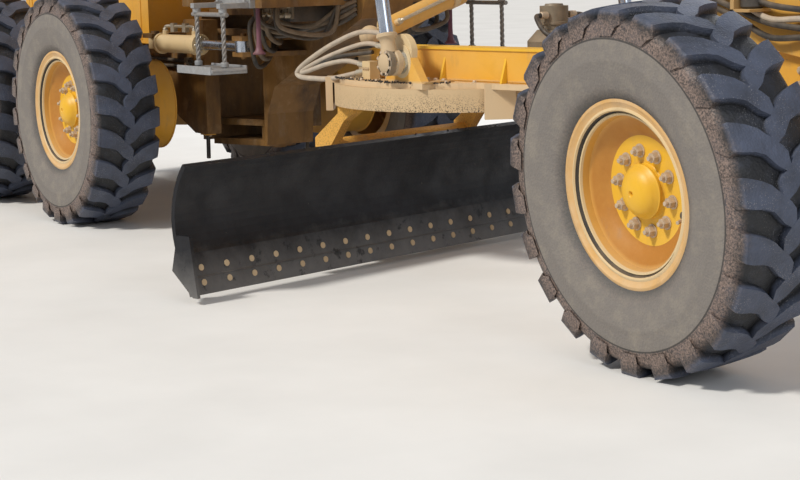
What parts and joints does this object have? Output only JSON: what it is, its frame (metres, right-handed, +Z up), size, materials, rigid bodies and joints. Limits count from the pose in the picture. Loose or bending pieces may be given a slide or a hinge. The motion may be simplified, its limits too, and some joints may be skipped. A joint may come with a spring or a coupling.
{
  "type": "motor grader",
  "caption": "Articulated motor grader: leaning steered front wheels, tandem rear wheels, circle-mounted blade under an arched frame, hollow cab and opening hood panels.",
  "frame": {"origin": "on the ground under the middle of the whole machine's box", "axes": "+X forward, +Y left, +Z up"},
  "size_m": [8.27, 3.5938, 3.255],
  "materials": {
    "yellow_paint": "dusty construction yellow paint, chipped at the edges",
    "dusty_paint": "paint under a coat of road dust",
    "cream_paint": "faded cream-yellow paint",
    "rim_paint": "tan paint, dusty, with a yellow hub",
    "engine_block": "dark painted iron",
    "drive_iron": "dark painted iron",
    "axle_iron": "forged steel under dust",
    "exhaust_steel": "heat-browned steel",
    "worn_steel": "bare steel, dusty, spattered with asphalt",
    "blade_steel": "steel blackened by asphalt, bright at the worn edge",
    "rod_chrome": "hard chrome",
    "tyre_rubber": "black rubber, dusty sidewall",
    "window_glass": "clear tinted glass",
    "seat_cloth": "black vinyl",
    "console_plastic": "textured black plastic",
    "mirror_black": "black housing",
    "lamp_clear": "clear lens in a black shell",
    "lamp_red": "red lens"
  },
  "bodies": {
    "rear_frame": {"rear_frame": "yellow_paint", "engine": "engine_block", "hood": "yellow_paint", "exhaust": "exhaust_steel", "rear_lamps": "lamp_red", "rear_axle": "dusty_paint", "tandem_cases": "cream_paint"},
    "hood_door_left": {"hood_door_left": "yellow_paint"},
    "hood_door_right": {"hood_door_right": "yellow_paint"},
    "rear_grille": {"rear_grille": "yellow_paint"},
    "front_frame": {"front_frame": "yellow_paint", "lift_saddle": "yellow_paint", "cab": "yellow_paint", "cab_roof": "yellow_paint", "cab_glass": "window_glass", "seat": "seat_cloth", "console": "console_plastic", "ladders": "dusty_paint", "front_lamps": "lamp_clear", "mirrors": "mirror_black", "front_axle": "yellow_paint", "ball_cap": "yellow_paint"},
    "door_left": {"door_left": "yellow_paint", "door_glass_left": "window_glass"},
    "door_right": {"door_right": "yellow_paint", "door_glass_right": "window_glass"},
    "knuckle_left": {"knuckle_left": "yellow_paint"},
    "knuckle_right": {"knuckle_right": "yellow_paint"},
    "spindle_left": {"spindle_left": "axle_iron"},
    "spindle_right": {"spindle_right": "axle_iron"},
    "lean_bar": {"lean_bar": "yellow_paint"},
    "tie_rod_end": {"tie_rod_end": "axle_iron"},
    "tie_rod": {"tie_rod": "axle_iron"},
    "drawbar": {"drawbar": "yellow_paint", "circle_drive": "drive_iron"},
    "turn_circle": {"turn_circle": "worn_steel"},
    "blade_carrier": {"blade_carrier": "dusty_paint"},
    "blade": {"blade": "blade_steel"},
    "shift_barrel": {"shift_barrel": "yellow_paint"},
    "shift_rod": {"shift_rod": "rod_chrome"},
    "wheel_front_left": {"tyre_front_left": "tyre_rubber", "rim_front_left": "rim_paint"},
    "wheel_mid_left": {"tyre_mid_left": "tyre_rubber", "rim_mid_left": "rim_paint"},
    "wheel_rear_left": {"tyre_rear_left": "tyre_rubber", "rim_rear_left": "rim_paint"},
    "lift_barrel_left": {"lift_barrel_left": "yellow_paint"},
    "lift_rod_left": {"lift_rod_left": "rod_chrome"},
    "hitch_barrel_left": {"hitch_barrel_left": "cream_paint"},
    "hitch_rod_left": {"hitch_rod_left": "rod_chrome"},
    "wheel_front_right": {"tyre_front_right": "tyre_rubber", "rim_front_right": "rim_paint"},
    "wheel_mid_right": {"tyre_mid_right": "tyre_rubber", "rim_mid_right": "rim_paint"},
    "wheel_rear_right": {"tyre_rear_right": "tyre_rubber", "rim_rear_right": "rim_paint"},
    "lift_barrel_right": {"lift_barrel_right": "yellow_paint"},
    "lift_rod_right": {"lift_rod_right": "rod_chrome"},
    "hitch_barrel_right": {"hitch_barrel_right": "cream_paint"},
    "hitch_rod_right": {"hitch_rod_right": "rod_chrome"}
  },
  "joints": [
    {"name": "articulation", "type": "hinge", "parent": "rear_frame", "child": "front_frame", "pos_m": [-1.415, 0, 0.8], "axis": [0, 0, -1], "range_deg": [-20, 20]},
    {"name": "door_left_swing", "type": "hinge", "parent": "front_frame", "child": "door_left", "pos_m": [-1.198, 0.768, 2.245], "axis": [0, 0, 1], "range_deg": [0, 100]},
    {"name": "door_right_swing", "type": "hinge", "parent": "front_frame", "child": "door_right", "pos_m": [-1.198, -0.768, 2.245], "axis": [0, 0, -1], "range_deg": [0, 100]},
    {"name": "hood_door_left_swing", "type": "hinge", "parent": "rear_frame", "child": "hood_door_left", "pos_m": [-3.718, 0.538, 1.6], "axis": [0, 0, 1], "range_deg": [0, 95]},
    {"name": "hood_door_right_swing", "type": "hinge", "parent": "rear_frame", "child": "hood_door_right", "pos_m": [-3.718, -0.538, 1.6], "axis": [0, 0, -1], "range_deg": [0, 95]},
    {"name": "rear_grille_swing", "type": "hinge", "parent": "rear_frame", "child": "rear_grille", "pos_m": [-3.908, 0.538, 1.6], "axis": [0, 0, -1], "range_deg": [0, 100]},
    {"name": "lean_right", "type": "hinge", "parent": "front_frame", "child": "knuckle_right", "pos_m": [3.285, -0.79076, 0.62019], "axis": [1, 0, 0], "range_deg": [-23, 13]},
    {"name": "lean_left", "type": "hinge", "parent": "front_frame", "child": "knuckle_left", "pos_m": [3.285, 0.78873, 0.5801], "axis": [1, 0, 0], "range_deg": [-23.01, 13.01]},
    {"name": "lean_bar_pin", "type": "hinge", "parent": "knuckle_right", "child": "lean_bar", "pos_m": [3.285, -0.81342, 0.8792], "axis": [1, 0, 0], "range_deg": [-13.01, 23.01]},
    {"name": "steer_right", "type": "hinge", "parent": "knuckle_right", "child": "spindle_right", "pos_m": [3.285, -0.85053, 0.61496], "axis": [0, -0.0872, 0.9962], "range_deg": [-40, 40]},
    {"name": "steer_left", "type": "hinge", "parent": "knuckle_left", "child": "spindle_left", "pos_m": [3.285, 0.8485, 0.58533], "axis": [0, -0.0872, 0.9962], "range_deg": [-40.01, 40.01]},
    {"name": "tie_rod_swivel", "type": "hinge", "parent": "spindle_right", "child": "tie_rod_end", "pos_m": [3.165, -0.83883, 0.48117], "axis": [0, -0.0872, 0.9962], "range_deg": [-40.01, 40.01]},
    {"name": "tie_rod_tilt", "type": "hinge", "parent": "tie_rod_end", "child": "tie_rod", "pos_m": [3.165, -0.83883, 0.48117], "axis": [1, 0, 0], "range_deg": [-13.01, 23.01]},
    {"name": "roll_front_left", "type": "hinge", "parent": "spindle_left", "child": "wheel_front_left", "pos_m": [3.285, 1.01263, 0.65992], "axis": [0, 0.9962, 0.0872], "continuous": true},
    {"name": "roll_mid_left", "type": "hinge", "parent": "rear_frame", "child": "wheel_mid_left", "pos_m": [-1.8725, 1.02, 0.655], "axis": [0, 1, 0], "continuous": true},
    {"name": "roll_rear_left", "type": "hinge", "parent": "rear_frame", "child": "wheel_rear_left", "pos_m": [-3.3975, 1.02, 0.655], "axis": [0, 1, 0], "continuous": true},
    {"name": "roll_front_right", "type": "hinge", "parent": "spindle_right", "child": "wheel_front_right", "pos_m": [3.285, -1.02511, 0.65992], "axis": [0, 0.9962, 0.0872], "continuous": true},
    {"name": "roll_mid_right", "type": "hinge", "parent": "rear_frame", "child": "wheel_mid_right", "pos_m": [-1.8725, -1.02, 0.655], "axis": [0, 1, 0], "continuous": true},
    {"name": "roll_rear_right", "type": "hinge", "parent": "rear_frame", "child": "wheel_rear_right", "pos_m": [-3.3975, -1.02, 0.655], "axis": [0, 1, 0], "continuous": true},
    {"name": "drawbar_lift", "type": "hinge", "parent": "front_frame", "child": "drawbar", "pos_m": [2.935, 0, 0.98], "axis": [0, 1, 0], "range_deg": [-10, 10]},
    {"name": "circle_turning", "type": "hinge", "parent": "drawbar", "child": "turn_circle", "pos_m": [0.735, 0, 0.775], "axis": [0, 0, 1], "continuous": true},
    {"name": "blade_tip", "type": "hinge", "parent": "turn_circle", "child": "blade_carrier", "pos_m": [0.19563, -0.1506, 0.235], "axis": [-0.2689, 0.9632, 0], "range_deg": [-5, 40]},
    {"name": "blade_side_shift", "type": "slide", "parent": "blade_carrier", "child": "blade", "axis": [0.2689, -0.9632, 0], "range_m": [-0.4, 0.6]},
    {"name": "lift_barrel_left_swing", "type": "hinge", "parent": "front_frame", "child": "lift_barrel_left", "pos_m": [0.805, 0.7, 1.85], "axis": [0, 1, 0], "range_deg": [-4.78, 4.78]},
    {"name": "lift_rod_left_slide", "type": "slide", "parent": "lift_barrel_left", "child": "lift_rod_left", "axis": [0.2072, 0, -0.9783], "range_m": [-0.32404, 0.32404]},
    {"name": "hitch_barrel_left_swing", "type": "hinge", "parent": "rear_frame", "child": "hitch_barrel_left", "pos_m": [-1.845, 0.56, 1.01], "axis": [0, 0, 1], "range_deg": [-9.12, 9.12]},
    {"name": "hitch_rod_left_slide", "type": "slide", "parent": "hitch_barrel_left", "child": "hitch_rod_left", "axis": [0.9926, -0.1213, 0], "range_m": [-0.17551, 0.17551]},
    {"name": "lift_barrel_right_swing", "type": "hinge", "parent": "front_frame", "child": "lift_barrel_right", "pos_m": [0.805, -0.7, 1.85], "axis": [0, 1, 0], "range_deg": [-4.78, 4.78]},
    {"name": "lift_rod_right_slide", "type": "slide", "parent": "lift_barrel_right", "child": "lift_rod_right", "axis": [0.2072, 0, -0.9783], "range_m": [-0.32404, 0.32404]},
    {"name": "hitch_barrel_right_swing", "type": "hinge", "parent": "rear_frame", "child": "hitch_barrel_right", "pos_m": [-1.845, -0.56, 1.01], "axis": [0, 0, 1], "range_deg": [-9.12, 9.12]},
    {"name": "hitch_rod_right_slide", "type": "slide", "parent": "hitch_barrel_right", "child": "hitch_rod_right", "axis": [0.9926, 0.1213, 0], "range_m": [-0.17551, 0.17551]},
    {"name": "shift_barrel_swing", "type": "hinge", "parent": "drawbar", "child": "shift_barrel", "pos_m": [0.48, -0.5, 1.1], "axis": [0.8024, 0.5962, -0.0268], "range_deg": [-24.07, 24.07]},
    {"name": "shift_rod_slide", "type": "slide", "parent": "shift_barrel", "child": "shift_rod", "axis": [-0.173, 0.9404, 0.2928], "range_m": [-0.11209, 0.11209]}
  ],
  "couplings": [
    {"joint": "lean_left", "follows": "lean_right", "ratio": 1},
    {"joint": "lean_bar_pin", "follows": "lean_right", "ratio": -1},
    {"joint": "steer_left", "follows": "steer_right", "ratio": 1},
    {"joint": "tie_rod_swivel", "follows": "steer_right", "ratio": -1},
    {"joint": "tie_rod_tilt", "follows": "lean_right", "ratio": -0.92941},
    {"joint": "lift_barrel_left_swing", "follows": "drawbar_lift", "ratio": -0.4765},
    {"joint": "lift_rod_left_slide", "follows": "drawbar_lift", "m_per_rad": -1.8538},
    {"joint": "hitch_barrel_left_swing", "follows": "articulation", "ratio": -0.45548},
    {"joint": "hitch_rod_left_slide", "follows": "articulation", "m_per_rad": 0.50137},
    {"joint": "lift_barrel_right_swing", "follows": "drawbar_lift", "ratio": -0.4765},
    {"joint": "lift_rod_right_slide", "follows": "drawbar_lift", "m_per_rad": -1.8538},
    {"joint": "hitch_barrel_right_swing", "follows": "articulation", "ratio": -0.45548},
    {"joint": "hitch_rod_right_slide", "follows": "articulation", "m_per_rad": -0.50137},
    {"joint": "shift_barrel_swing", "follows": "drawbar_lift", "ratio": -2.4062},
    {"joint": "shift_rod_slide", "follows": "drawbar_lift", "m_per_rad": -0.63935}
  ]
}
